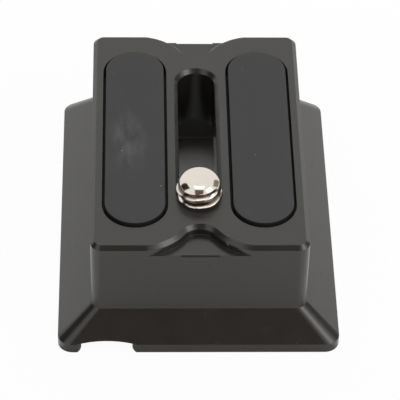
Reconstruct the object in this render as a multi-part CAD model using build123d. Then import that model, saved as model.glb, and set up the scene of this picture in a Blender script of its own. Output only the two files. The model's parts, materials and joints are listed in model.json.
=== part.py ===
from build123d import *
import math
import os

# Tripod quick release plate: a flared base that a clamp grips, a tall block with two rubber pads,
# and a captive camera screw that slides in a lengthwise slot.
# Millimetres. Origin at the centre of the underside, +Z up, +Y away from the end with the groove's mouth.

# Base: a thin upright rim, then a flare up to the block
BASE_WIDTH = 38.0
BASE_LENGTH = 49.7
BASE_CORNER_RADIUS = 2.0
RIM_HEIGHT = 1.4
FLARE_RISE = 4.15

# Block
BLOCK_WIDTH = 29.0
BLOCK_LENGTH = 44.0
BLOCK_CORNER_RADIUS = 1.5
BODY_HEIGHT = 16.8
TOP_CHAMFER = 0.55

# Bell-shaped recess at each end of the top face
BELL_REACH = 4.15
BELL_HALF_WIDTH = 8.2
BELL_NOSE_RADIUS = 2.4
BELL_FLOOR_DEPTH = 1.5
LIP_BREAK = 0.2
LIP_BREAK_LENGTH = 5.2

# Slot for the screw's neck, and the pocket for its head under it
SLOT_WIDTH = 5.2
SLOT_TRAVEL = 22.9
SLOT_CHAMFER = 0.55
SLOT_WALL = 9.0
POCKET_WIDTH = 14.0
POCKET_CORNER_RADIUS = 2.5
POCKET_EDGE_BREAK = 0.3

# Rubber pads in their recesses
PAD_WIDTH = 8.1
PAD_LENGTH = 35.4
PAD_THICKNESS = 2.5
PAD_PROUD = 0.5
PAD_OFFSET = 8.6
PAD_GAP = 0.37
PAD_EDGE_BREAK = 0.1

# Groove in the underside for a clamp's safety pin, open at the front
GROOVE_WIDTH = 6.9
GROOVE_SIDE_HEIGHT = 1.55
GROOVE_CROWN = 0.3
GROOVE_LENGTH = 36.0
GROOVE_OFFSET = 12.4
GROOVE_END_RADIUS = 2.0
GROOVE_MOUTH_FLARE = 0.65
GROOVE_MOUTH_DEPTH = 1.3

# Camera screw
THREAD_DIAMETER = 6.2
THREAD_LENGTH = 0.8
LEAD_LENGTH = 1.55
LEAD_END_DIAMETER = 5.22
TIP_ROUND_HEIGHT = 0.65
TIP_FLAT_DIAMETER = 3.36
NECK_CLEARANCE = 0.2
THREAD_SEAT_GAP = 0.05
HEAD_DROP = 1.5
FLANGE_CLEARANCE = 0.4
FLANGE_THICKNESS = 1.6
FLANGE_EDGE_BREAK = 0.3
BOSS_DIAMETER = 7.2
BOSS_EDGE_BREAK = 0.3
COIN_SLOT_WIDTH = 1.5
COIN_SLOT_DEPTH = 1.2

# Washer on top of the screw's flange
WASHER_OUTER_DIAMETER = 11.0
WASHER_THICKNESS = 0.5
WASHER_GAP = 0.05

# Fold-down finger ring
RING_WIRE_DIAMETER = 1.5
RING_BEND_RADIUS = 0.9
RING_REACH = 6.55
RING_PIN_LENGTH = 1.7
RING_PIN_CLEARANCE = 0.05
RING_PIN_END_GAP = 0.2
RING_FLANGE_GAP = 0.35
RING_BOSS_FLOOR = 0.75

# Shared by every bevel, and by every blend, which runs out a little past the wall that it leaves
BEVEL_ANGLE = 45
BLEND_RUNOUT = 0.1

# Heights that follow
FLARE_TOP = RIM_HEIGHT + FLARE_RISE
BELL_FLOOR = BODY_HEIGHT - BELL_FLOOR_DEPTH
POCKET_CEILING = BODY_HEIGHT - SLOT_WALL
PAD_RECESS_FLOOR = BODY_HEIGHT + PAD_PROUD - PAD_THICKNESS
THREAD_BOTTOM = BODY_HEIGHT + THREAD_SEAT_GAP
LEAD_BOTTOM = THREAD_BOTTOM + THREAD_LENGTH
LEAD_TOP = LEAD_BOTTOM + LEAD_LENGTH
TIP_TOP = LEAD_TOP + TIP_ROUND_HEIGHT
WASHER_TOP = POCKET_CEILING - HEAD_DROP
FLANGE_TOP = WASHER_TOP - WASHER_THICKNESS - WASHER_GAP
FLANGE_BOTTOM = FLANGE_TOP - FLANGE_THICKNESS
RING_AXIS_HEIGHT = FLANGE_BOTTOM - RING_FLANGE_GAP - RING_WIRE_DIAMETER / 2
PIN_HOLE_RADIUS = RING_WIRE_DIAMETER / 2 + RING_PIN_CLEARANCE
BOSS_BOTTOM = RING_AXIS_HEIGHT - PIN_HOLE_RADIUS - RING_BOSS_FLOOR

# Plan sizes that follow
SCREW_Y = -SLOT_TRAVEL / 2
POCKET_LENGTH = SLOT_TRAVEL + POCKET_WIDTH
NECK_RADIUS = SLOT_WIDTH / 2 - NECK_CLEARANCE
FLANGE_RADIUS = POCKET_WIDTH / 2 - FLANGE_CLEARANCE
BOSS_RADIUS = BOSS_DIAMETER / 2
RING_RADIUS = RING_REACH - RING_BEND_RADIUS - RING_WIRE_DIAMETER / 2
PIN_TIP = BOSS_RADIUS - RING_PIN_LENGTH


def stadium(width, centre_distance, height, z, taper=0):
    """Upright prism with round ends, its long way along Y."""
    outline = Plane.XY.offset(z) * SlotCenterToCenter(centre_distance, width, rotation=90)
    return extrude(outline, amount=height, taper=taper)


def rounded_plate(width, length, radius, z):
    """Rounded rectangle lying at height z."""
    return Plane.XY.offset(z) * RectangleRounded(width, length, radius)


def bell_outline():
    """Area that one end recess takes from the top, at the back end: a nose arc and two shoulder arcs."""
    wall = BLOCK_LENGTH / 2
    edge = wall + BLEND_RUNOUT
    apex = wall - BELL_REACH
    depth = edge - apex
    flank_angle = 2 * math.atan2(depth, BELL_HALF_WIDTH)
    join_x = BELL_NOSE_RADIUS * math.sin(flank_angle)
    join_y = apex + BELL_NOSE_RADIUS * (1 - math.cos(flank_angle))
    flank = Vector(math.cos(flank_angle), math.sin(flank_angle))
    nose = ThreePointArc((-join_x, join_y), (0, apex), (join_x, join_y))
    right = TangentArc((join_x, join_y), (BELL_HALF_WIDTH, edge), tangent=flank)
    left = TangentArc((-join_x, join_y), (-BELL_HALF_WIDTH, edge), tangent=(-flank.X, flank.Y))
    outside = Polyline(
        (BELL_HALF_WIDTH, edge),
        (BELL_HALF_WIDTH, edge + BELL_REACH),
        (-BELL_HALF_WIDTH, edge + BELL_REACH),
        (-BELL_HALF_WIDTH, edge),
    )
    return make_face([nose, right, outside, left])


def top_tier():
    """Top layer of the block, between the end recesses, with a bevel all the way round."""
    bell = bell_outline()
    outline = RectangleRounded(BLOCK_WIDTH, BLOCK_LENGTH, BLOCK_CORNER_RADIUS)
    outline -= bell
    outline -= bell.rotate(Axis.Z, 180)
    bevel_start = BODY_HEIGHT - TOP_CHAMFER
    straight = extrude(Plane.XY.offset(BELL_FLOOR) * outline, amount=bevel_start - BELL_FLOOR)
    bevelled = extrude(Plane.XY.offset(bevel_start) * outline, amount=TOP_CHAMFER, taper=BEVEL_ANGLE)
    return straight + bevelled


def lip_break():
    """Small bevel along the middle of an end recess's outer edge, at the back end."""
    bevel = Plane.YZ * Polygon(
        (BLOCK_LENGTH / 2, BELL_FLOOR),
        (BLOCK_LENGTH / 2 - LIP_BREAK, BELL_FLOOR),
        (BLOCK_LENGTH / 2, BELL_FLOOR - LIP_BREAK),
        align=None,
    )
    return extrude(bevel, amount=LIP_BREAK_LENGTH / 2, both=True)


def safety_groove():
    """Groove along the underside, with an arched ceiling, a flared mouth and a round-cornered blind end."""
    half = GROOVE_WIDTH / 2
    mouth = half + GROOVE_MOUTH_FLARE
    edge = -BASE_LENGTH / 2 - BLEND_RUNOUT
    throat = edge + GROOVE_MOUTH_DEPTH
    back = -BASE_LENGTH / 2 + GROOVE_LENGTH
    left_mouth = TangentArc((-half, throat), (-mouth, edge), tangent=(0, -1))
    corners = ((-half, throat), (-half, back), (half, back), (half, throat))
    walls = FilletPolyline(*corners, radius=GROOVE_END_RADIUS)
    right_mouth = TangentArc((half, throat), (mouth, edge), tangent=(0, -1))
    plan = make_face([left_mouth, walls, right_mouth, Line((mouth, edge), (-mouth, edge))])
    height = GROOVE_SIDE_HEIGHT + GROOVE_CROWN
    arch_radius = (half**2 + GROOVE_CROWN**2) / (2 * GROOVE_CROWN)
    arch = Cylinder(arch_radius, 2 * BASE_LENGTH, rotation=(90, 0, 0))
    groove = extrude(plan, amount=height) & (Pos(0, 0, height - arch_radius) * arch)
    return Pos(-GROOVE_OFFSET, 0, 0) * groove


def make_plate_body():
    rim = extrude(rounded_plate(BASE_WIDTH, BASE_LENGTH, BASE_CORNER_RADIUS, 0), amount=RIM_HEIGHT)
    flare = loft(
        [
            rounded_plate(BASE_WIDTH, BASE_LENGTH, BASE_CORNER_RADIUS, RIM_HEIGHT),
            rounded_plate(BLOCK_WIDTH, BLOCK_LENGTH, BLOCK_CORNER_RADIUS, FLARE_TOP),
        ],
        ruled=True,
    )
    block_outline = rounded_plate(BLOCK_WIDTH, BLOCK_LENGTH, BLOCK_CORNER_RADIUS, FLARE_TOP)
    block = extrude(block_outline, amount=BELL_FLOOR - FLARE_TOP)
    body = rim + flare + block + top_tier()

    body -= stadium(SLOT_WIDTH, SLOT_TRAVEL, SLOT_WALL, POCKET_CEILING)
    body -= stadium(SLOT_WIDTH + 2 * SLOT_CHAMFER, SLOT_TRAVEL, -SLOT_CHAMFER, BODY_HEIGHT, BEVEL_ANGLE)
    pocket = rounded_plate(POCKET_WIDTH, POCKET_LENGTH, POCKET_CORNER_RADIUS, 0)
    body -= extrude(pocket, amount=POCKET_CEILING)
    pocket_mouth = rounded_plate(
        POCKET_WIDTH + 2 * POCKET_EDGE_BREAK,
        POCKET_LENGTH + 2 * POCKET_EDGE_BREAK,
        POCKET_CORNER_RADIUS + POCKET_EDGE_BREAK,
        0,
    )
    body -= extrude(pocket_mouth, amount=POCKET_EDGE_BREAK, taper=BEVEL_ANGLE)
    pad_recess = stadium(
        PAD_WIDTH + 2 * PAD_GAP,
        PAD_LENGTH - PAD_WIDTH,
        BODY_HEIGHT - PAD_RECESS_FLOOR,
        PAD_RECESS_FLOOR,
    )
    for side in (-1, 1):
        body -= Pos(side * PAD_OFFSET, 0, 0) * pad_recess
    body -= safety_groove()
    back_lip = lip_break()
    body -= back_lip
    body -= back_lip.rotate(Axis.Z, 180)
    return body


def make_pad(side):
    pad = stadium(PAD_WIDTH, PAD_LENGTH - PAD_WIDTH, PAD_THICKNESS, PAD_RECESS_FLOOR)
    pad = chamfer(pad.edges().group_by(Axis.Z)[-1], PAD_EDGE_BREAK)
    return Pos(side * PAD_OFFSET, 0, 0) * pad


def make_camera_screw():
    thread_radius = THREAD_DIAMETER / 2
    runout = thread_radius - NECK_RADIUS
    tip_edge = (TIP_FLAT_DIAMETER / 2, TIP_TOP)
    shoulder = (LEAD_END_DIAMETER / 2, LEAD_TOP)
    tip_round = TangentArc(tip_edge, shoulder, tangent=(1, 0))
    outline = Polyline(
        shoulder,
        (thread_radius, LEAD_BOTTOM),
        (thread_radius, THREAD_BOTTOM),
        (NECK_RADIUS, THREAD_BOTTOM - runout),
        (NECK_RADIUS, FLANGE_TOP),
        (FLANGE_RADIUS - FLANGE_EDGE_BREAK, FLANGE_TOP),
        (FLANGE_RADIUS, FLANGE_TOP - FLANGE_EDGE_BREAK),
        (FLANGE_RADIUS, FLANGE_BOTTOM + FLANGE_EDGE_BREAK),
        (FLANGE_RADIUS - FLANGE_EDGE_BREAK, FLANGE_BOTTOM),
        (BOSS_RADIUS, FLANGE_BOTTOM),
        (BOSS_RADIUS, BOSS_BOTTOM + BOSS_EDGE_BREAK),
        (BOSS_RADIUS - BOSS_EDGE_BREAK, BOSS_BOTTOM),
        (0, BOSS_BOTTOM),
        (0, TIP_TOP),
        tip_edge,
    )
    screw = revolve(Plane.XZ * make_face([tip_round, outline]), Axis.Z)
    hole_length = RING_PIN_LENGTH + RING_PIN_END_GAP
    hole = Cylinder(PIN_HOLE_RADIUS, hole_length, rotation=(0, 90, 0))
    for side in (-1, 1):
        screw -= Pos(side * (BOSS_RADIUS - hole_length / 2), 0, RING_AXIS_HEIGHT) * hole
    coin_slot = Box(COIN_SLOT_WIDTH, 2 * BOSS_DIAMETER, 2 * COIN_SLOT_DEPTH)
    screw -= Pos(0, 0, BOSS_BOTTOM) * coin_slot
    return Pos(0, SCREW_Y, 0) * screw


def make_slide_washer():
    ring = Circle(WASHER_OUTER_DIAMETER / 2) - Circle(NECK_RADIUS + NECK_CLEARANCE)
    return Pos(0, SCREW_Y, WASHER_TOP - WASHER_THICKNESS) * extrude(ring, amount=WASHER_THICKNESS)


def make_finger_ring():
    """Round wire: a pin into each side of the boss, a tight bend, and a half circle between the bends."""
    bend_start = RING_RADIUS - RING_BEND_RADIUS
    left_pin = Line((-PIN_TIP, 0), (-bend_start, 0))
    left_bend = TangentArc((-bend_start, 0), (-RING_RADIUS, RING_BEND_RADIUS), tangent=(-1, 0))
    loop = ThreePointArc(
        (-RING_RADIUS, RING_BEND_RADIUS),
        (0, RING_BEND_RADIUS + RING_RADIUS),
        (RING_RADIUS, RING_BEND_RADIUS),
    )
    right_bend = TangentArc((RING_RADIUS, RING_BEND_RADIUS), (bend_start, 0), tangent=(0, -1))
    right_pin = Line((bend_start, 0), (PIN_TIP, 0))
    path = Wire([left_pin, left_bend, loop, right_bend, right_pin])
    section = Plane(origin=(-PIN_TIP, 0, 0), z_dir=(-1, 0, 0)) * Circle(RING_WIRE_DIAMETER / 2)
    return Pos(0, SCREW_Y, RING_AXIS_HEIGHT) * sweep(section, path=path)


nodes = {
    "plate_body": make_plate_body(),
    "left_pad": make_pad(-1),
    "right_pad": make_pad(1),
    "camera_screw": make_camera_screw(),
    "slide_washer": make_slide_washer(),
    "finger_ring": make_finger_ring(),
}

os.makedirs("parts", exist_ok=True)
for name, solid in nodes.items():
    export_step(solid, f"parts/{name}.step")
    print(name, round(solid.volume, 2), "mm3")
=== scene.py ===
# %% [markdown]
# # A tripod quick release plate, dressed for a studio photograph
# The plate is a block of dark anodised aluminium on a flared foot that a tripod clamp grips. Two rubber
# pads keep a camera from slipping, and a nickel plated screw, which can slide along a slot, holds it down.
# The solids already exist, so this lesson adds what they lack: finishes, softer pads, a real screw thread,
# the light and the camera.

# %% [markdown]
# ## The frame
# Everything is measured from the imported model. Its nodes sit at the origin with their place in their meshes,
# so a new piece that is modelled at the right coordinates needs no moving afterwards. The box around the
# bare model is kept here.

# %% Load the model
import json
import math

import bmesh
import bpy
from mathutils import Matrix, Vector


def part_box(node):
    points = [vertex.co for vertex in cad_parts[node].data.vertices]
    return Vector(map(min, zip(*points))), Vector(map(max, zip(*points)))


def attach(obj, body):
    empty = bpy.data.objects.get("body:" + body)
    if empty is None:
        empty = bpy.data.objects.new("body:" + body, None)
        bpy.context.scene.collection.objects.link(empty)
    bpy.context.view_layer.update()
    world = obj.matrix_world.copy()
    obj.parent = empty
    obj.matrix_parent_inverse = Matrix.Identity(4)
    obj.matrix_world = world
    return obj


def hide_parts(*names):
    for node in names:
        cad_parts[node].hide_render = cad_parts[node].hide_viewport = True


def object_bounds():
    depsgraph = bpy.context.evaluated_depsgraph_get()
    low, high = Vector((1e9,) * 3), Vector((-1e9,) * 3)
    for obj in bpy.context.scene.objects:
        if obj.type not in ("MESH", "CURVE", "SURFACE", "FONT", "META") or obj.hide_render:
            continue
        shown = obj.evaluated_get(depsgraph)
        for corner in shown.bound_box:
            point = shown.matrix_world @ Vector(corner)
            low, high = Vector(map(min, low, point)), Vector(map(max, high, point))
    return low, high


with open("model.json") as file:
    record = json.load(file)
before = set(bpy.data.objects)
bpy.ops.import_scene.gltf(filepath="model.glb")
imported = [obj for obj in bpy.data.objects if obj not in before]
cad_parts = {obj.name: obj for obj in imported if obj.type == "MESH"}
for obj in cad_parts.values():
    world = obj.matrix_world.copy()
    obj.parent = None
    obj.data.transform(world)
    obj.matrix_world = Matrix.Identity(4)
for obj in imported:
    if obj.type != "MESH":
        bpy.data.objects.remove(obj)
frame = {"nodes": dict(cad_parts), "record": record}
cad_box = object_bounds()
MM = 0.001
print("nodes:", ", ".join(sorted(frame["nodes"])))

# %% [markdown]
# ## The camera
# The photograph was taken from in front and above with a long lens, so the sides of the block hardly
# converge. A camera can be turned by a Track To constraint, but a constraint can't lean it, and the
# photograph leans by a degree and a half. So the three axes of the camera are worked out and put into its
# matrix.

# %% Stand the camera where the photographer stood
CAMERA_AZIMUTH = math.radians(-2.0953)
CAMERA_ELEVATION = math.radians(43.0333)
CAMERA_ROLL = math.radians(1.4277)
CAMERA_DISTANCE = 355.8752 * MM
CAMERA_TARGET = Vector((0.5619, 0.0, 4.8594)) * MM
CAMERA_LENS = 227.63


def direction(azimuth, elevation):
    """Unit vector from the object towards a place round it; azimuth 0 is the front."""
    flat = math.cos(elevation)
    return Vector((math.sin(azimuth) * flat, -math.cos(azimuth) * flat, math.sin(elevation)))


def add_camera():
    back = direction(CAMERA_AZIMUTH, CAMERA_ELEVATION)
    right = Vector((0, 0, 1)).cross(back).normalized()
    turn = Matrix((right, back.cross(right), back)).transposed().to_4x4()
    data = bpy.data.cameras.new("camera")
    data.lens = CAMERA_LENS
    data.clip_start = 0.01
    camera = bpy.data.objects.new("camera", data)
    bpy.context.scene.collection.objects.link(camera)
    place = Matrix.Translation(CAMERA_TARGET + back * CAMERA_DISTANCE)
    camera.matrix_world = place @ turn @ Matrix.Rotation(CAMERA_ROLL, 4, "Z")
    bpy.context.scene.camera = camera
    return camera


camera = add_camera()
bpy.context.scene.view_settings.view_transform = "Standard"
print("camera at", [round(c / MM, 1) for c in camera.matrix_world.translation], "mm")

# %% [markdown]
# ## Building with nodes
# The world, the floor and every finish are built from nodes. Adding one takes several lines each time, so
# that is written once, with short forms for the kinds that come up most: sums, sums on vectors, ramps and
# the object's own coordinates. A pattern on those coordinates stays put when the piece moves.

# %% Helpers for nodes
def add_node(tree, kind, inputs=None, **settings):
    """Adds one node; inputs holds values, or output sockets to be linked, by the socket's name or number."""
    node = tree.nodes.new(kind)
    for name, value in settings.items():
        setattr(node, name, value)
    for name, value in (inputs or {}).items():
        if isinstance(value, bpy.types.NodeSocket):
            tree.links.new(value, node.inputs[name])
        else:
            node.inputs[name].default_value = value
    return node


def calc(tree, operation, *terms):
    """One Math node; returns its output socket."""
    return add_node(tree, "ShaderNodeMath", dict(enumerate(terms)), operation=operation).outputs[0]


def vector_calc(tree, operation, *terms):
    """One Vector Math node; returns the output that its operation fills."""
    node = add_node(tree, "ShaderNodeVectorMath", dict(enumerate(terms)), operation=operation)
    return node.outputs["Value" if operation == "LENGTH" else "Vector"]


def ramp(tree, value, start, end, low=0.0, high=1.0, **settings):
    """One Map Range node, which goes from low at the start to high at the end and is level beyond them."""
    ends = {"From Min": start, "From Max": end, "To Min": low, "To Max": high}
    return add_node(tree, "ShaderNodeMapRange", {"Value": value, **ends}, **settings).outputs[0]


def object_place(tree):
    """The object's own coordinates."""
    return add_node(tree, "ShaderNodeTexCoord").outputs["Object"]


def split(tree, vector):
    """The three parts of a vector."""
    return add_node(tree, "ShaderNodeSeparateXYZ", {0: vector}).outputs[:]


# %% [markdown]
# ## The studio
# The plate was photographed on white. A white surface that is simply lit harder would burn out, so the floor
# and the world are made white by what they show to the camera and to reflections, and the light on the
# object stays plain. A Light Path node tells the two apart.

# %% The world: white where it is seen, softer where it lights
WORLD_LIGHT = 0.6


def seen_directly(tree):
    """One where the camera, a reflection or a clear surface looks at it, nought where light falls from it."""
    path = add_node(tree, "ShaderNodeLightPath").outputs
    mirrored = calc(tree, "MAXIMUM", path["Is Glossy Ray"], path["Is Transmission Ray"])
    return calc(tree, "MAXIMUM", path["Is Camera Ray"], mirrored)


def make_world():
    world = bpy.data.worlds.new("white_studio")
    world.use_nodes = True
    tree = world.node_tree
    tree.nodes.clear()
    light = add_node(tree, "ShaderNodeBackground", {"Color": (1, 1, 1, 1), "Strength": WORLD_LIGHT})
    white = add_node(tree, "ShaderNodeBackground", {"Color": (1, 1, 1, 1), "Strength": 1.0})
    shown = {0: seen_directly(tree), 1: light.outputs[0], 2: white.outputs[0]}
    mix = add_node(tree, "ShaderNodeMixShader", shown)
    add_node(tree, "ShaderNodeOutputWorld", {"Surface": mix.outputs[0]})
    return world


bpy.context.scene.world = make_world()
print("world light", WORLD_LIGHT)

# %% [markdown]
# ## The floor
# In the photograph the floor is nearly shadowless, yet the slot looks down into deep shade. So the floor
# glows white to the camera, with a small matt share near the object that takes its soft shadow, and a patch
# of it under the pocket is matt alone to the camera: there only the light that finds its way down the slot
# counts, while in reflections the patch keeps a faint glow of painted light. The front wall mirrors the
# floor close by, which the plate itself shades; there reflections see less white, a painted shadow that
# fades out with the distance from the front and back of the base, over the real shadow in the matt share.

# %% How white the floor looks
FLOOR_WHITE_SHARE = 0.95
SHADOW_REACH = 45.0 * MM
# The painted shadow in reflections: the white share left next to the base's front and back, and its reach.
PAINTED_SHADOW_SHARE = 0.15
PAINTED_SHADOW_REACH = 40.0 * MM
base_high = cad_box[1]


def looked_at_share(tree):
    """How white the floor looks to the camera: a little less near the object, where its shadow falls."""
    far = vector_calc(tree, "LENGTH", object_place(tree))
    return ramp(tree, far, SHADOW_REACH, 2 * SHADOW_REACH, FLOOR_WHITE_SHARE, 1.0)


def mirrored_share(tree):
    """How white the floor looks in reflections: less near the base's front and back, a painted shadow."""
    x, y, _ = split(tree, object_place(tree))
    beside = calc(tree, "GREATER_THAN", calc(tree, "ABSOLUTE", x), base_high.x)
    # Near the front and back of the base the white gives way to a painted shadow.
    start, end = base_high.y, base_high.y + PAINTED_SHADOW_REACH
    painted_shadow = ramp(tree, calc(tree, "ABSOLUTE", y), start, end, PAINTED_SHADOW_SHARE, FLOOR_WHITE_SHARE)
    return calc(tree, "MAXIMUM", beside, painted_shadow)


# %% The shade under the pocket
SHADE_HALF_WIDTH = 8.0 * MM
SHADE_HALF_LENGTH = 20.0 * MM


def outside_shade(tree):
    """One but for the patch of floor under the pocket."""
    x, y, _ = split(tree, object_place(tree))
    beside = calc(tree, "GREATER_THAN", calc(tree, "ABSOLUTE", x), SHADE_HALF_WIDTH)
    beyond = calc(tree, "GREATER_THAN", calc(tree, "ABSOLUTE", y), SHADE_HALF_LENGTH)
    return calc(tree, "MAXIMUM", beside, beyond)


# %% The floor: white, with a soft shadow
FLOOR_HALF_SIZE = 1.5
FLOOR_PAINT = (0.95, 0.95, 0.95, 1)
# Painted light: the faint white glow that reflections see on the shaded patch under the pocket.
PAINTED_PATCH_GLOW = 0.1


def flat_sheet(name, half_width, half_height, place):
    """A flat sheet, centred on a place and turned by its matrix."""
    shape = bmesh.new()
    stretch = Matrix.Diagonal((half_width, half_height, 1, 1))
    bmesh.ops.create_grid(shape, x_segments=1, y_segments=1, size=1, matrix=place @ stretch)
    mesh = bpy.data.meshes.new(name)
    shape.to_mesh(mesh)
    shape.free()
    sheet = bpy.data.objects.new(name, mesh)
    bpy.context.scene.collection.objects.link(sheet)
    return sheet


def make_floor_paint():
    material = bpy.data.materials.new("floor_paint")
    material.use_nodes = True
    tree = material.node_tree
    tree.nodes.clear()
    matt = add_node(tree, "ShaderNodeBsdfDiffuse", {"Color": FLOOR_PAINT})
    white = add_node(tree, "ShaderNodeEmission", {"Color": (1, 1, 1, 1), "Strength": 1.0})
    path = add_node(tree, "ShaderNodeLightPath").outputs
    mirrored = calc(tree, "MULTIPLY", path["Is Glossy Ray"], mirrored_share(tree))
    looked_at = calc(tree, "MULTIPLY", path["Is Camera Ray"], looked_at_share(tree))
    glow = calc(tree, "MULTIPLY", calc(tree, "MAXIMUM", mirrored, looked_at), outside_shade(tree))
    # In reflections the shaded patch still glows faintly: painted light.
    painted_patch_glow = calc(tree, "MULTIPLY", path["Is Glossy Ray"], PAINTED_PATCH_GLOW)
    share = calc(tree, "MAXIMUM", glow, painted_patch_glow)
    mix = add_node(tree, "ShaderNodeMixShader", {0: share, 1: matt.outputs[0], 2: white.outputs[0]})
    add_node(tree, "ShaderNodeOutputMaterial", {"Surface": mix.outputs[0]})
    return material


floor = flat_sheet("floor", FLOOR_HALF_SIZE, FLOOR_HALF_SIZE, Matrix.Identity(4))
floor.data.materials.append(make_floor_paint())
print("floor", 2 * FLOOR_HALF_SIZE, "m wide")

# %% [markdown]
# ## Lamps and cards
# A dark, smooth object is lit by what it reflects. A soft box at the right puts the streaks on the bevels
# that face it, and a small one straight above lights the flanks of the screw's thread. A large fill box
# behind isn't shown in reflections, because it would wash out the top. Cards stand to the left, to the right
# and behind the camera, as in many studios, and a black mat lies on the floor at the left: they give the
# rounded corners their dark bands and the bright screw its contrast.

# %% Soft boxes
SOFT_BOXES = {
    "fill_box": {"azimuth": 180, "elevation": 60, "size": 0.6, "radiance": 0.9},
    "top_box": {"azimuth": 0, "elevation": 86, "size": 0.3, "radiance": 1.0},
    "key_box": {"azimuth": 60, "elevation": 40, "size": 0.26, "radiance": 2.5},
}
BOX_DISTANCE = 0.6


def facing_object(azimuth, elevation, distance):
    """Matrix of a thing that stands off in a direction, given in degrees, and looks at the object."""
    back = direction(math.radians(azimuth), math.radians(elevation))
    return Matrix.Translation(back * distance) @ back.to_track_quat("Z", "Y").to_matrix().to_4x4()


def add_soft_box(name, azimuth, elevation, size, radiance):
    lamp = bpy.data.lights.new(name, "AREA")
    lamp.size = size
    lamp.energy = radiance * math.pi * size**2
    box = bpy.data.objects.new(name, lamp)
    bpy.context.scene.collection.objects.link(box)
    box.matrix_world = facing_object(azimuth, elevation, BOX_DISTANCE)
    box.visible_camera = False
    return box


soft_boxes = {name: add_soft_box(name, **values) for name, values in SOFT_BOXES.items()}
soft_boxes["fill_box"].visible_glossy = False
print("soft boxes:", ", ".join(soft_boxes))

# %% A plain start for every material
def new_material(name):
    """An empty material with a Principled shader on its output; returns the material, tree and shader."""
    material = bpy.data.materials.new(name)
    material.use_nodes = True
    tree = material.node_tree
    tree.nodes.clear()
    shader = add_node(tree, "ShaderNodeBsdfPrincipled")
    add_node(tree, "ShaderNodeOutputMaterial", {"Surface": shader.outputs["BSDF"]})
    return material, tree, shader


def set_inputs(tree, shader, **values):
    """Sets or links sockets of a shader, with underscores for the blanks in their names."""
    for name, value in values.items():
        socket = shader.inputs[name.replace("_", " ")]
        if isinstance(value, bpy.types.NodeSocket):
            tree.links.new(value, socket)
        else:
            socket.default_value = value


# %% Cards and a mat
BROWN_CARD = (0.2, 0.15, 0.13, 1)
BLACK_CARD = (0.05, 0.036, 0.03, 1)
GREY_CARD = (0.36, 0.34, 0.31, 1)
CARDS = {
    "camera_card": {"azimuth": -2, "elevation": 37, "size": (0.34, 0.5), "paint": BROWN_CARD},
    "left_card": {"azimuth": -92, "elevation": 28, "size": (0.32, 0.48), "paint": BLACK_CARD},
    "right_card": {"azimuth": 113, "elevation": 18, "size": (0.3, 0.42), "paint": GREY_CARD},
}
CARD_DISTANCE = 0.5
MAT_CENTRE = Vector((-270.0, 0.0, 0.5)) * MM
MAT_SIZE = (0.36, 0.3)


def add_card(name, place, size, paint):
    card = flat_sheet(name, size[0] / 2, size[1] / 2, place)
    card.visible_camera = False
    material, tree, shader = new_material(name + "_paint")
    set_inputs(tree, shader, Base_Color=paint, Roughness=1.0, Specular_IOR_Level=0.0)
    card.data.materials.append(material)


for name, card in CARDS.items():
    place = facing_object(card["azimuth"], card["elevation"], CARD_DISTANCE)
    add_card(name, place, card["size"], card["paint"])
add_card("left_mat", Matrix.Translation(MAT_CENTRE), MAT_SIZE, BLACK_CARD)
print(len(CARDS), "cards and a mat")

# %% [markdown]
# ## Grain, shared by every finish
# Blasted and anodised metal, moulded rubber and nylon all carry a grain that is finer than the eye can count
# but that breaks up reflections. A picture of it could be wrapped round the part, but two noises on the
# object's own coordinates never stretch and need no map. The pair sits in a node group, so that each
# material can set its own grain size.

# %% Node group: grain
GRAINS_TO_A_CLOUD = 40


def new_group(name, inputs, outputs):
    """An empty shader node group with the named sockets; returns it with its input and output nodes."""
    group = bpy.data.node_groups.new(name, "ShaderNodeTree")
    for socket, kind in inputs.items():
        group.interface.new_socket(socket, in_out="INPUT", socket_type=kind)
    for socket, kind in outputs.items():
        group.interface.new_socket(socket, in_out="OUTPUT", socket_type=kind)
    return group, add_node(group, "NodeGroupInput"), add_node(group, "NodeGroupOutput")


def make_grain_group():
    group, given, put = new_group(
        "grain",
        {"Position": "NodeSocketVector", "Grains per Metre": "NodeSocketFloat"},
        {"Height": "NodeSocketFloat", "Cloud": "NodeSocketFloat"},
    )
    position, scale = given.outputs["Position"], given.outputs["Grains per Metre"]
    wide = calc(group, "DIVIDE", scale, GRAINS_TO_A_CLOUD)
    fine = add_node(group, "ShaderNodeTexNoise", {"Vector": position, "Scale": scale, "Detail": 2.0})
    cloud = add_node(group, "ShaderNodeTexNoise", {"Vector": position, "Scale": wide, "Detail": 3.0})
    group.links.new(fine.outputs["Fac"], put.inputs["Height"])
    group.links.new(cloud.outputs["Fac"], put.inputs["Cloud"])
    return group


grain_group = make_grain_group()
print("group grain:", [s.name for s in grain_group.interface.items_tree])

# %% Helpers that put a group to use
def place_group(tree, group, **values):
    """Places a group on the object's coordinates and sets its other inputs; blanks stand as underscores."""
    node = add_node(tree, "ShaderNodeGroup", node_tree=group)
    tree.links.new(object_place(tree), node.inputs["Position"])
    set_inputs(tree, node, **values)
    return node


def spread(tree, value, low, high):
    """Maps a noise, which mostly lies between a quarter and three quarters, to a low and a high value."""
    return ramp(tree, value, 0.25, 0.75, low, high)


def two_tones(tree, mask, dark, light):
    """Blends two colours by a mask."""
    return add_node(tree, "ShaderNodeMix", {0: mask, 6: dark, 7: light}, data_type="RGBA").outputs[2]


def grain_bump(tree, grain, strength, depth, **under):
    """A normal that a grain's height breaks up."""
    relief = {"Strength": strength, "Distance": depth, "Height": grain.outputs["Height"]}
    return add_node(tree, "ShaderNodeBump", {**relief, **under}).outputs[0]


# %% [markdown]
# ## Specks and worn spots
# A part that has been handled carries a few specks of lint and a rubbed patch here and there. Painting them
# by hand would need a map, so one group scatters specks, by keeping a small share of the cells of a Voronoi
# texture, and another marks a single worn spot round a point. Both put out only a mask.

# %% Node group: specks
SPECK_EDGE = (0.05, 0.1)


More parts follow.
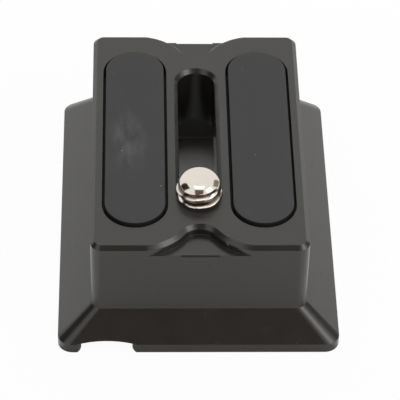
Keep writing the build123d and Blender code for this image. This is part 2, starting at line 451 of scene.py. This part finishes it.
def make_speck_group():
    group, given, put = new_group(
        "specks",
        {"Position": "NodeSocketVector", "Specks per Metre": "NodeSocketFloat", "Share": "NodeSocketFloat"},
        {"Mask": "NodeSocketFloat"},
    )
    place = {"Vector": given.outputs["Position"], "Scale": given.outputs["Specks per Metre"]}
    cells = add_node(group, "ShaderNodeTexVoronoi", place)
    chance = add_node(group, "ShaderNodeSeparateColor", {0: cells.outputs["Color"]})
    kept = calc(group, "LESS_THAN", chance.outputs[0], given.outputs["Share"])
    near = ramp(group, cells.outputs["Distance"], *SPECK_EDGE, 1.0, 0.0)
    group.links.new(calc(group, "MULTIPLY", kept, near), put.inputs["Mask"])
    return group


speck_group = make_speck_group()
print("group specks:", [s.name for s in speck_group.interface.items_tree])

# %% Node group: a worn spot
SPOT_EDGE = (0.2, 1.0)
SPOT_BREAKS = (0.4, 0.7)
SPOT_PATCHES = 2.2


def make_worn_spot_group():
    group, given, put = new_group(
        "worn_spot",
        {"Position": "NodeSocketVector", "Centre": "NodeSocketVector", "Reach": "NodeSocketVector"},
        {"Mask": "NodeSocketFloat"},
    )
    offset = vector_calc(group, "SUBTRACT", given.outputs["Position"], given.outputs["Centre"])
    scaled = vector_calc(group, "DIVIDE", offset, given.outputs["Reach"])
    far = vector_calc(group, "LENGTH", scaled)
    fade = ramp(group, far, *SPOT_EDGE, 1.0, 0.0, interpolation_type="SMOOTHSTEP")
    patchy = add_node(group, "ShaderNodeTexNoise", {"Vector": scaled, "Scale": SPOT_PATCHES, "Detail": 5.0})
    broken = ramp(group, patchy.outputs["Fac"], *SPOT_BREAKS)
    group.links.new(calc(group, "MULTIPLY", fade, broken), put.inputs["Mask"])
    return group


worn_spot_group = make_worn_spot_group()
print("group worn_spot:", [s.name for s in worn_spot_group.interface.items_tree])

# %% [markdown]
# ## Anodised aluminium
# The block was milled, blasted to an even satin and dyed in the anodising bath. The oxide is a clear, hard
# skin over the dye, so it shines like a dark lacquer rather than like bare metal: the shader is a dark
# colour with a clear gloss, and only the grain breaks it up. One edge has a small nick, where the bare
# aluminium shows. The floors of the two pad recesses are painted dark and dull: painted shade, which keeps
# the gaps round the pads dark; a mask finds them by their place, mirrored about the middle.

# %% Mask: painted shade on the floors of the pad recesses
RECESS_SHADE_MARGIN = 0.6 * MM
RECESS_SHADE_DEPTH = 0.1 * MM
pad_low, pad_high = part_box("right_pad")
RECESS_SHADE_CENTRE = Vector(((pad_low.x + pad_high.x) / 2, 0, pad_low.z))
RECESS_SHADE_REACH = Vector((pad_high.x - RECESS_SHADE_CENTRE.x + RECESS_SHADE_MARGIN, pad_high.y + RECESS_SHADE_MARGIN, RECESS_SHADE_DEPTH))


# Painted shade: the floors of the pad recesses are painted dark and dull, which keeps the gaps dark.
def recess_shade_mask(tree):
    """One on the floors of the pad recesses, nought elsewhere."""
    mirrored = vector_calc(tree, "ABSOLUTE", object_place(tree))
    offset = vector_calc(tree, "SUBTRACT", mirrored, RECESS_SHADE_CENTRE)
    far = vector_calc(tree, "ABSOLUTE", vector_calc(tree, "DIVIDE", offset, RECESS_SHADE_REACH))
    x, y, z = split(tree, far)
    widest = calc(tree, "MAXIMUM", x, calc(tree, "MAXIMUM", y, z))
    return calc(tree, "LESS_THAN", widest, 1.0)


print("glue on a floor", round(2 * RECESS_SHADE_REACH.x / MM, 1), "by", round(2 * RECESS_SHADE_REACH.y / MM, 1), "mm")

# %% Finish: anodised body
BODY_DARK = (0.019, 0.0178, 0.0162, 1)
BODY_LIGHT = (0.0235, 0.022, 0.02, 1)
BODY_GLOSS = (1.0, 0.99, 0.96, 1)
BODY_NICK = (0.35, 0.33, 0.31, 1)
NICK_PLACE = Vector((3.55, -20.6, 16.1)) * MM
NICK_REACH = Vector((0.4, 0.4, 0.4)) * MM
BODY_ROUGHNESS = (0.23, 0.28)
BODY_GRAIN = 0.06 * MM
BODY_GRAIN_DEPTH = 0.004 * MM
BODY_GRAIN_SHARE = 0.3
EDGE_ROUND = 0.1 * MM
# The colour of the painted shade on the recess floors.
RECESS_PAINTED_SHADE = (0.07, 0.07, 0.07, 1)


def make_anodised_body():
    material, tree, shader = new_material("anodised_body")
    grain = place_group(tree, grain_group, Grains_per_Metre=1 / BODY_GRAIN)
    nick = place_group(tree, worn_spot_group, Centre=NICK_PLACE, Reach=NICK_REACH)
    # The recess floors get the painted shade's dark colour and full roughness.
    recess_shade = recess_shade_mask(tree)
    dyed = two_tones(tree, grain.outputs["Cloud"], BODY_DARK, BODY_LIGHT)
    nicked = two_tones(tree, nick.outputs["Mask"], dyed, BODY_NICK)
    edge = add_node(tree, "ShaderNodeBevel", {"Radius": EDGE_ROUND}, samples=6)
    set_inputs(
        tree,
        shader,
        Base_Color=two_tones(tree, recess_shade, nicked, RECESS_PAINTED_SHADE),
        Roughness=calc(tree, "MAXIMUM", recess_shade, spread(tree, grain.outputs["Cloud"], *BODY_ROUGHNESS)),
        IOR=1.6,
        Specular_Tint=BODY_GLOSS,
        Normal=grain_bump(tree, grain, BODY_GRAIN_SHARE, BODY_GRAIN_DEPTH, Normal=edge.outputs[0]),
    )
    return material


frame["nodes"]["plate_body"].material_slots[0].material = make_anodised_body()
print("anodised body on plate_body")

# %% [markdown]
# ## Rubber pads
# Each pad is a moulded strip with round ends, pressed into a recess and standing a little proud of it. Its
# rim is slightly rounded and its top slightly crowned. A stadium could be joined from two half discs and a
# box, but pulling the halves of one circle apart gives the same outline with nothing to weld. The rubber is
# matt and a little rubbed, with specks of lint, and its sides are painted near black: painted shade where
# light hardly gets at them.

# %% Finish: pad rubber
PAD_DARK = (0.061, 0.0615, 0.062, 1)
PAD_LIGHT = (0.072, 0.0725, 0.073, 1)
PAD_RUBBED = (0.115, 0.116, 0.116, 1)
PAD_LINT = (0.3, 0.3, 0.29, 1)
# Painted shade: the pad's sides, below a height just under its top, are painted near black.
PAD_SIDE_PAINTED_SHADE = (0.024, 0.024, 0.024, 1)
PAINTED_SHADE_TOP = pad_high.z - 0.14 * MM
PAD_SHEEN = 0.1
RUB_PLACE = Vector((-9.6, -1.5, 17.3)) * MM
RUB_REACH = Vector((3.4, 9.0, 9.0)) * MM
LINT_CELL = 1.3 * MM
LINT_SHARE = 0.1
PAD_ROUGHNESS = (0.6, 0.7)
PAD_GRAIN = 0.08 * MM
PAD_GRAIN_DEPTH = 0.006 * MM
PAD_GRAIN_SHARE = 0.4


def make_pad_rubber():
    material, tree, shader = new_material("pad_rubber")
    grain = place_group(tree, grain_group, Grains_per_Metre=1 / PAD_GRAIN)
    rub = place_group(tree, worn_spot_group, Centre=RUB_PLACE, Reach=RUB_REACH)
    lint = place_group(tree, speck_group, Specks_per_Metre=1 / LINT_CELL, Share=LINT_SHARE)
    rubber = two_tones(tree, grain.outputs["Cloud"], PAD_DARK, PAD_LIGHT)
    rubber = two_tones(tree, rub.outputs["Mask"], rubber, PAD_RUBBED)
    rubber = two_tones(tree, lint.outputs["Mask"], rubber, PAD_LINT)
    # Below that height the sides take the painted shade's colour.
    height = split(tree, object_place(tree))[2]
    above_side_shade = calc(tree, "GREATER_THAN", height, PAINTED_SHADE_TOP)
    set_inputs(
        tree,
        shader,
        Base_Color=two_tones(tree, above_side_shade, PAD_SIDE_PAINTED_SHADE, rubber),
        Roughness=spread(tree, grain.outputs["Cloud"], *PAD_ROUGHNESS),
        Specular_IOR_Level=PAD_SHEEN,
        Normal=grain_bump(tree, grain, PAD_GRAIN_SHARE, PAD_GRAIN_DEPTH),
    )
    return material


pad_rubber = make_pad_rubber()
print("finish ready:", pad_rubber.name)

# %% A last step for every new piece
def piece_from(shape, name, sharp_degrees=35):
    """Closes a bmesh into a smooth shaded object whose edges stay sharp where the surface really bends."""
    bmesh.ops.recalc_face_normals(shape, faces=shape.faces)
    mesh = bpy.data.meshes.new(name)
    shape.to_mesh(mesh)
    shape.free()
    mesh.shade_smooth()
    mesh.set_sharp_from_angle(angle=math.radians(sharp_degrees))
    piece = bpy.data.objects.new(name, mesh)
    bpy.context.scene.collection.objects.link(piece)
    print(name, "has", len(mesh.polygons), "faces")
    return piece


# %% Shape: one pad in the place of its solid
PAD_SEGMENTS = 96
PAD_RIM_ROUND = 0.08 * MM
PAD_CROWN = 0.06 * MM
PAD_CROWN_STEPS = 3
PAD_CROWN_WIDTH = 2.4 * MM


def pad_outline(low, high):
    """A stadium on the pad's underside."""
    centre = (low + high) / 2
    radius = (high.x - low.x) / 2
    pull = (high.y - low.y) / 2 - radius
    shape = bmesh.new()
    turn = Matrix.Rotation(math.pi / PAD_SEGMENTS, 4, "Z")
    bmesh.ops.create_circle(shape, cap_ends=True, segments=PAD_SEGMENTS, radius=radius, matrix=turn)
    for vert in shape.verts:
        vert.co.y += math.copysign(pull, vert.co.y)
    bmesh.ops.translate(shape, verts=shape.verts, vec=(centre.x, centre.y, low.z))
    return shape


def round_rim(shape, edges):
    bmesh.ops.bevel(
        shape,
        geom=edges,
        offset=PAD_RIM_ROUND,
        segments=5,
        profile=0.5,
        affect="EDGES",
        material=-1,
    )


def crown(shape):
    """Insets the top a few times, each step rising less than the one before."""
    top = max(shape.faces, key=lambda face: face.calc_center_median().z)
    for step in range(PAD_CROWN_STEPS):
        share = 2 * (PAD_CROWN_STEPS - step) / (PAD_CROWN_STEPS * (PAD_CROWN_STEPS + 1))
        width = PAD_CROWN_WIDTH / PAD_CROWN_STEPS
        bmesh.ops.inset_region(shape, faces=[top], thickness=width, depth=PAD_CROWN * share)


def add_pad(node, name):
    low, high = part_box(node)
    shape = pad_outline(low, high)
    grown = bmesh.ops.extrude_face_region(shape, geom=shape.faces[:])["geom"]
    raised = [g for g in grown if isinstance(g, bmesh.types.BMVert)]
    bmesh.ops.translate(shape, verts=raised, vec=(0, 0, high.z - low.z - PAD_CROWN))
    round_rim(shape, [g for g in grown if isinstance(g, bmesh.types.BMEdge)])
    crown(shape)
    pad = piece_from(shape, name)
    pad.data.materials.append(pad_rubber)
    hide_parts(node)
    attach(pad, "plate")


add_pad("left_pad", "left_rubber_pad")
add_pad("right_pad", "right_rubber_pad")

# %% [markdown]
# ## The camera screw
# The screw is turned from steel: a round-shouldered tip, a lead that tapers so that it finds the camera's
# socket, a coarse thread with twenty turns to the inch, and a slim neck that slides in the slot. A helix can
# be made with the Screw modifier, but the spin operator does it too: its dvec lifts each step, and with a
# profile exactly one pitch tall each turn lands on the one below, so that merging doubles gives one closed
# skin. The thread is then pulled in to the lead and the round tip, as if it had been cut into a turned blank,
# and its groove fades out at the right of the tip, where a rolled thread starts.

# %% Measures of the screw
screw_low, screw_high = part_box("camera_screw")
SCREW_X, SCREW_Y = ((screw_low + screw_high) / 2).xy
AXIS = Vector((SCREW_X, SCREW_Y, 0))
thread_mount = next(m for m in frame["record"]["mounts"] if m["name"] == "camera_thread")
THREAD_RADIUS = thread_mount["dims"]["r_mm"] * MM
THREAD_HALF_LENGTH = thread_mount["dims"]["length_mm"] * MM / 2
THREAD_TOP = thread_mount["pos_m"][2] + THREAD_HALF_LENGTH
THREAD_BOTTOM = thread_mount["pos_m"][2] - THREAD_HALF_LENGTH
THREAD_PITCH = 1.27 * MM
NECK_RADIUS = 2.4 * MM
LEAD_END_RADIUS = 2.95 * MM
TIP_ROUND_HEIGHT = 1.32 * MM
RUNOUT_BOTTOM = THREAD_BOTTOM - (THREAD_RADIUS - NECK_RADIUS)
LEAD_TOP = screw_high.z - TIP_ROUND_HEIGHT
LEAD_TAPER = (THREAD_RADIUS - LEAD_END_RADIUS) / (LEAD_TOP - THREAD_TOP)
TIP_CORNER_RADIUS = LEAD_END_RADIUS - TIP_ROUND_HEIGHT * LEAD_TAPER
TIP_ROUND_REACH = TIP_ROUND_HEIGHT * math.hypot(1, LEAD_TAPER)
TIP_ROUND = TIP_ROUND_REACH / math.tan(math.atan2(1, LEAD_TAPER) / 2)
print("thread", round(2 * THREAD_RADIUS / MM, 2), "mm across, pitch", THREAD_PITCH / MM, "mm")

# %% Shape: one turn of the thread, as an outline
CREST_FLAT = THREAD_PITCH / 8
FLANK_ANGLE = math.radians(30)
THREAD_CORNER_ROUND = 0.06 * MM
FRONT_CREST = 18.0 * MM
THREAD_TURNS = 5


def chain(shape, corners):
    """A line of edges through corners given as radius and height, in front of the screw's axis."""
    verts = [shape.verts.new((SCREW_X, SCREW_Y - radius, height)) for radius, height in corners]
    for start, end in zip(verts, verts[1:]):
        shape.edges.new((start, end))
    return verts


def thread_outline():
    """Root, flank, crest and flank, one pitch tall, with the corners between them rounded."""
    shape = bmesh.new()
    flank = (THREAD_RADIUS - NECK_RADIUS) * math.tan(FLANK_ANGLE)
    root_flat = THREAD_PITCH - CREST_FLAT - 2 * flank
    start = FRONT_CREST - CREST_FLAT / 2 - flank - root_flat - (THREAD_TURNS - 2) * THREAD_PITCH
    corners = chain(
        shape,
        [
            (NECK_RADIUS, start),
            (NECK_RADIUS, start + root_flat),
            (THREAD_RADIUS, start + root_flat + flank),
            (THREAD_RADIUS, start + root_flat + flank + CREST_FLAT),
            (NECK_RADIUS, start + THREAD_PITCH),
        ],
    )
    bmesh.ops.bevel(
        shape,
        geom=corners[1:4],
        offset=THREAD_CORNER_ROUND,
        segments=3,
        profile=0.5,
        affect="VERTICES",
        material=-1,
    )
    bmesh.ops.subdivide_edges(shape, edges=shape.edges, cuts=5)
    return shape


thread = thread_outline()
print("thread outline has", len(thread.edges), "edges")

# %% Shape: the thread, spun, pulled in and cut to length
STEPS_PER_TURN = 96
MERGE_DISTANCE = 0.001 * MM
THREAD_CUT_TOP = LEAD_TOP + 0.7 * MM
GROOVE_FADE = math.radians(22)
GROOVE_END = math.radians(60)


def turned_limit(height):
    """The radius that turning left at a height, on the run-out, the thread, the lead or the round tip."""
    if height > LEAD_TOP:
        rise = min(TIP_ROUND, height - (screw_high.z - TIP_ROUND))
        return TIP_CORNER_RADIUS - TIP_ROUND_REACH + math.sqrt(TIP_ROUND**2 - rise**2)
    lead = LEAD_END_RADIUS + (LEAD_TOP - height) * LEAD_TAPER
    runout = NECK_RADIUS + height - RUNOUT_BOTTOM
    return max(NECK_RADIUS, min(THREAD_RADIUS, lead, runout))


def groove_share(out, height):
    """How much of its depth the groove keeps: all of it at first, and none past the start of the thread."""
    angle = math.atan2(out.x, -out.y)
    turns = (height - FRONT_CREST) / THREAD_PITCH - angle / math.tau
    along = math.floor(turns) * math.tau + angle
    return min(1, max(0, (GROOVE_END - along) / (GROOVE_END - GROOVE_FADE)))


def spin_thread(shape):
    bmesh.ops.spin(
        shape,
        geom=shape.verts[:] + shape.edges[:],
        cent=AXIS,
        axis=(0, 0, 1),
        dvec=(0, 0, THREAD_PITCH / STEPS_PER_TURN),
        angle=2 * math.pi * THREAD_TURNS,
        steps=STEPS_PER_TURN * THREAD_TURNS,
    )
    bmesh.ops.remove_doubles(shape, verts=shape.verts, dist=MERGE_DISTANCE)


def pull_in(shape):
    """Pulls the thread in to the turned outline, and lets its groove fade out at the tip."""
    for vert in shape.verts:
        out = vert.co.xy - AXIS.xy
        limit = turned_limit(vert.co.z)
        depth = max(0, limit - out.length) * groove_share(out, vert.co.z)
        vert.co.xy = AXIS.xy + out.normalized() * (limit - depth)


def cut_away(shape, height, side):
    """Cuts a shape level and clears what lies above, where side is 1, or below, where it is -1."""
    bmesh.ops.bisect_plane(
        shape,
        geom=shape.verts[:] + shape.edges[:] + shape.faces[:],
        plane_co=(0, 0, height),
        plane_no=(0, 0, side),
        clear_outer=True,
    )


spin_thread(thread)
pull_in(thread)
cut_away(thread, THREAD_CUT_TOP, 1)
cut_away(thread, RUNOUT_BOTTOM, -1)
print("thread has", len(thread.faces), "faces")

# %% Shape: the tip, by spinning its outline
TIP_FOOT = THREAD_CUT_TOP + 0.1 * MM
TIP_SPARE = 0.01 * MM


def make_tip():
    """The round tip, spun whole with a little of the lead to spare, and cut off at its foot."""
    shape = bmesh.new()
    top = screw_high.z
    spare = LEAD_TOP - TIP_SPARE
    corners = chain(shape, [(0, top), (TIP_CORNER_RADIUS, top), (turned_limit(spare), spare)])
    bmesh.ops.bevel(
        shape,
        geom=[corners[1]],
        offset=TIP_ROUND_REACH,
        segments=12,
        profile=0.5,
        affect="VERTICES",
        material=-1,
    )
    bmesh.ops.spin(
        shape,
        geom=shape.verts[:] + shape.edges[:],
        cent=AXIS,
        axis=(0, 0, 1),
        angle=2 * math.pi,
        steps=STEPS_PER_TURN,
        use_merge=True,
    )
    bmesh.ops.remove_doubles(shape, verts=shape.verts, dist=MERGE_DISTANCE)
    cut_away(shape, TIP_FOOT, -1)
    return shape


tip = make_tip()
print("tip has", len(tip.faces), "faces")

# %% Shape: the head from the solid
NECK_CUT = RUNOUT_BOTTOM - 0.3 * MM


def make_head():
    """The screw's solid below the neck, with its welds closed."""
    shape = bmesh.new()
    shape.from_mesh(frame["nodes"]["camera_screw"].data)
    bmesh.ops.remove_doubles(shape, verts=shape.verts, dist=MERGE_DISTANCE)
    cut_away(shape, NECK_CUT, 1)
    return shape


head = make_head()
print("head has", len(head.faces), "faces")

# %% The head, the thread and the tip joined
def take_in(whole, part):
    carried = bpy.data.meshes.new("carried")
    part.to_mesh(carried)
    part.free()
    whole.from_mesh(carried)
    bpy.data.meshes.remove(carried)


def open_edges(shape, height):
    """The open loop of edges at a height."""
    near = 0.01 * MM
    return [e for e in shape.edges if e.is_boundary and all(abs(v.co.z - height) < near for v in e.verts)]


def add_screw():
    take_in(head, thread)
    take_in(head, tip)
    for lower, upper in ((NECK_CUT, RUNOUT_BOTTOM), (THREAD_CUT_TOP, TIP_FOOT)):
        bmesh.ops.bridge_loops(head, edges=open_edges(head, lower) + open_edges(head, upper))
    print("open edges left on the screw:", sum(e.is_boundary for e in head.edges))
    screw = piece_from(head, "threaded_camera_screw")
    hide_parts("camera_screw")
    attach(screw, "screw")
    return screw


screw = add_screw()

# %% [markdown]
# ## Nickel plate
# The screw is polished and plated with nickel, which is a warmer white than chrome. Metal has no colour of
# its own under its reflections, so the base colour is the tint of what it reflects, and the finish is mostly
# a matter of roughness. The bottom of the thread's groove is painted browner: painted shade in the groove.
# A mask finds it by how far it lies within the outline that the screw was turned to.

# %% Mask: painted shade in the thread's groove
GROOVE_SHADE_EDGE = 0.1 * MM
GROOVE_SHADE_FULL = 0.3 * MM
GROOVE_SHADE_TOP = LEAD_TOP + 0.5 * MM


# Painted shade: deep in the thread's groove the nickel is painted browner.
def groove_shade_mask(tree):
    """One deep in the thread's groove, nought at its crest and away from the thread."""
    x, y, height = split(tree, vector_calc(tree, "SUBTRACT", object_place(tree), AXIS))
    flat = add_node(tree, "ShaderNodeCombineXYZ", {0: x, 1: y})
    radius = vector_calc(tree, "LENGTH", flat.outputs[0])
    below_lead_top = calc(tree, "SUBTRACT", LEAD_TOP, height)
    lead = calc(tree, "MULTIPLY_ADD", below_lead_top, LEAD_TAPER, LEAD_END_RADIUS)
    outline = calc(tree, "MINIMUM", lead, THREAD_RADIUS)
    deep = ramp(tree, calc(tree, "SUBTRACT", outline, radius), GROOVE_SHADE_EDGE, GROOVE_SHADE_FULL)
    below_tip = calc(tree, "LESS_THAN", height, GROOVE_SHADE_TOP)
    above_neck = calc(tree, "GREATER_THAN", height, THREAD_BOTTOM)
    return calc(tree, "MULTIPLY", deep, calc(tree, "MULTIPLY", below_tip, above_neck))


print("painted_groove_shade from", round(GROOVE_SHADE_EDGE / MM, 2), "mm below the crest")

# %% Finish: nickel plate
NICKEL_DARK = (0.73, 0.67, 0.59, 1)
NICKEL_LIGHT = (0.79, 0.73, 0.645, 1)
NICKEL_ROUGHNESS = (0.1, 0.16)
NICKEL_GRAIN = 0.05 * MM
NICKEL_GRAIN_DEPTH = 0.002 * MM
NICKEL_GRAIN_SHARE = 0.05
# The colour of the painted shade in the thread's groove.
GROOVE_PAINTED_SHADE = (0.16, 0.115, 0.095, 1)


def make_nickel_plate():
    material, tree, shader = new_material("nickel_plate")
    grain = place_group(tree, grain_group, Grains_per_Metre=1 / NICKEL_GRAIN)
    nickel = two_tones(tree, grain.outputs["Cloud"], NICKEL_DARK, NICKEL_LIGHT)
    set_inputs(
        tree,
        shader,
        Base_Color=two_tones(tree, groove_shade_mask(tree), nickel, GROOVE_PAINTED_SHADE),
        Metallic=1.0,
        Roughness=spread(tree, grain.outputs["Cloud"], *NICKEL_ROUGHNESS),
        Normal=grain_bump(tree, grain, NICKEL_GRAIN_SHARE, NICKEL_GRAIN_DEPTH),
    )
    return material


screw.data.materials.clear()
screw.data.materials.append(make_nickel_plate())
print("nickel plate on the screw")

# %% [markdown]
# ## The washer and the finger ring
# Underneath, a nylon washer keeps the head from scraping the pocket, and a loop of stainless wire folds out
# so that the screw can be turned without a coin. They could be modelled again, but their solids already have
# the right shape, so they only get finishes.

# %% Finish: nylon and drawn wire
NYLON_DARK = (0.03, 0.03, 0.031, 1)
NYLON_LIGHT = (0.045, 0.045, 0.046, 1)
NYLON_ROUGHNESS = (0.45, 0.55)
NYLON_GRAIN = 0.1 * MM
WIRE_DARK = (0.5, 0.49, 0.48, 1)
WIRE_LIGHT = (0.62, 0.61, 0.6, 1)
WIRE_ROUGHNESS = (0.2, 0.32)
WIRE_GRAIN = 0.06 * MM
SMALL_GRAIN_DEPTH = 0.003 * MM
SMALL_GRAIN_SHARE = 0.2


def make_small_finish(name, grain_size, dark, light, metallic, roughness):
    material, tree, shader = new_material(name)
    grain = place_group(tree, grain_group, Grains_per_Metre=1 / grain_size)
    set_inputs(
        tree,
        shader,
        Base_Color=two_tones(tree, grain.outputs["Cloud"], dark, light),
        Metallic=metallic,
        Roughness=spread(tree, grain.outputs["Height"], *roughness),
        Normal=grain_bump(tree, grain, SMALL_GRAIN_SHARE, SMALL_GRAIN_DEPTH),
    )
    return material


black_nylon = make_small_finish("black_nylon", NYLON_GRAIN, NYLON_DARK, NYLON_LIGHT, 0.0, NYLON_ROUGHNESS)
drawn_wire = make_small_finish("drawn_wire", WIRE_GRAIN, WIRE_DARK, WIRE_LIGHT, 1.0, WIRE_ROUGHNESS)
frame["nodes"]["slide_washer"].material_slots[0].material = black_nylon
frame["nodes"]["finger_ring"].material_slots[0].material = drawn_wire
print("nylon on slide_washer, wire on finger_ring")
